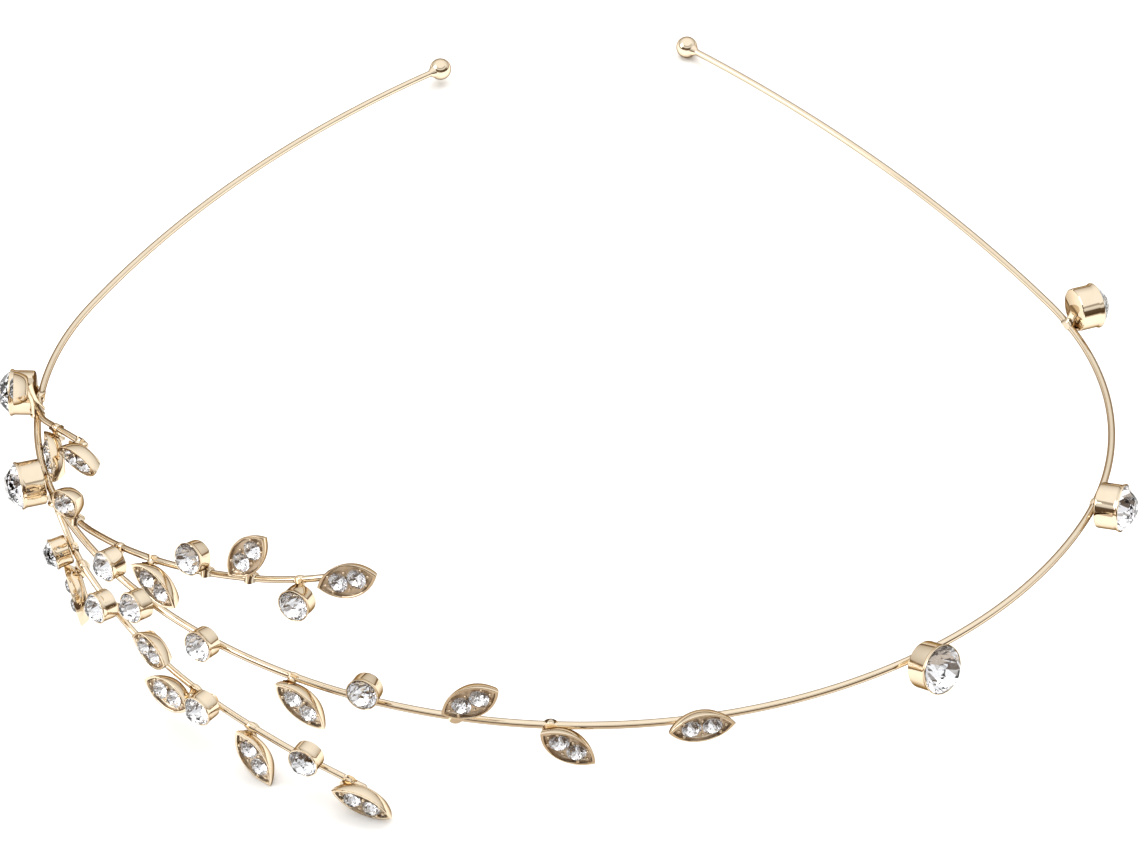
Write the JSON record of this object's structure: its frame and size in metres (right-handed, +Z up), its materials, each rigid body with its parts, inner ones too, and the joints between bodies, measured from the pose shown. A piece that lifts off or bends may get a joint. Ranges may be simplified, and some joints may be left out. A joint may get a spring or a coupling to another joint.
{
  "type": "bridal tiara",
  "caption": "Sprung wire bridal headband with navette leaves and round crystals on bent spray wires, and ball tips at its open ends.",
  "frame": {"origin": "centre of the tiara's box, on the table it lies on", "axes": "+Z up from the table, +Y from the crown's front middle to the open ends, +X to the right of a viewer facing the crown"},
  "size_m": [0.1418, 0.1486, 0.0376],
  "materials": {
    "gold": "polished champagne gold plate",
    "crystal": "clear cut crystal"
  },
  "bodies": {
    "crown": {"crown_wire": "gold", "left_rear_crystal": "crystal", "left_rear_cup": "gold", "left_side_crystal": "crystal", "left_side_cup": "gold", "lower_1_crystal": "crystal", "lower_1_cup": "gold", "lower_2_crystal": "crystal", "lower_2_cup": "gold", "lower_3_crystal": "crystal", "lower_3_cup": "gold", "lower_4_crystal": "crystal", "lower_4_cup": "gold", "lower_leaf_1": "gold", "lower_leaf_2": "gold", "lower_leaf_3": "gold", "lower_leaf_4": "gold", "lower_leaf_5": "gold", "lower_leaf_crystals": "crystal", "lower_spray_wire": "gold", "main_1_crystal": "crystal", "main_1_cup": "gold", "main_2_crystal": "crystal", "main_2_cup": "gold", "main_3_crystal": "crystal", "main_3_cup": "gold", "main_leaf_1": "gold", "main_leaf_2": "gold", "main_leaf_3": "gold", "main_leaf_4": "gold", "main_leaf_crystals": "crystal", "right_front_crystal": "crystal", "right_front_cup": "gold", "right_rear_crystal": "crystal", "right_rear_cup": "gold", "right_side_crystal": "crystal", "right_side_cup": "gold", "side_leaf_1": "gold", "side_leaf_2": "gold", "side_leaf_3": "gold", "side_leaf_crystals": "crystal", "side_spray_wire": "gold", "upper_1_crystal": "crystal", "upper_1_cup": "gold", "upper_2_crystal": "crystal", "upper_2_cup": "gold", "upper_3_crystal": "crystal", "upper_3_cup": "gold", "upper_leaf_1": "gold", "upper_leaf_2": "gold", "upper_leaf_3": "gold", "upper_leaf_4": "gold", "upper_leaf_crystals": "crystal", "upper_spray_wire": "gold"},
    "left_leg": {"left_leg_wire": "gold", "left_ball_tip": "gold"},
    "right_leg": {"right_leg_wire": "gold", "right_ball_tip": "gold"}
  },
  "joints": [
    {"name": "left_leg_spring", "type": "hinge", "parent": "crown", "child": "left_leg", "pos_m": [-0.06178, 0.00723, 0.00957], "axis": [0.0025, 0.1184, 0.993], "range_deg": [0, 8], "stiffness_Nm_per_rad": 0.02},
    {"name": "right_leg_spring", "type": "hinge", "parent": "crown", "child": "right_leg", "pos_m": [0.06354, 0.01055, 0.00885], "axis": [-0.0025, -0.1184, -0.993], "range_deg": [0, 8], "stiffness_Nm_per_rad": 0.02}
  ]
}
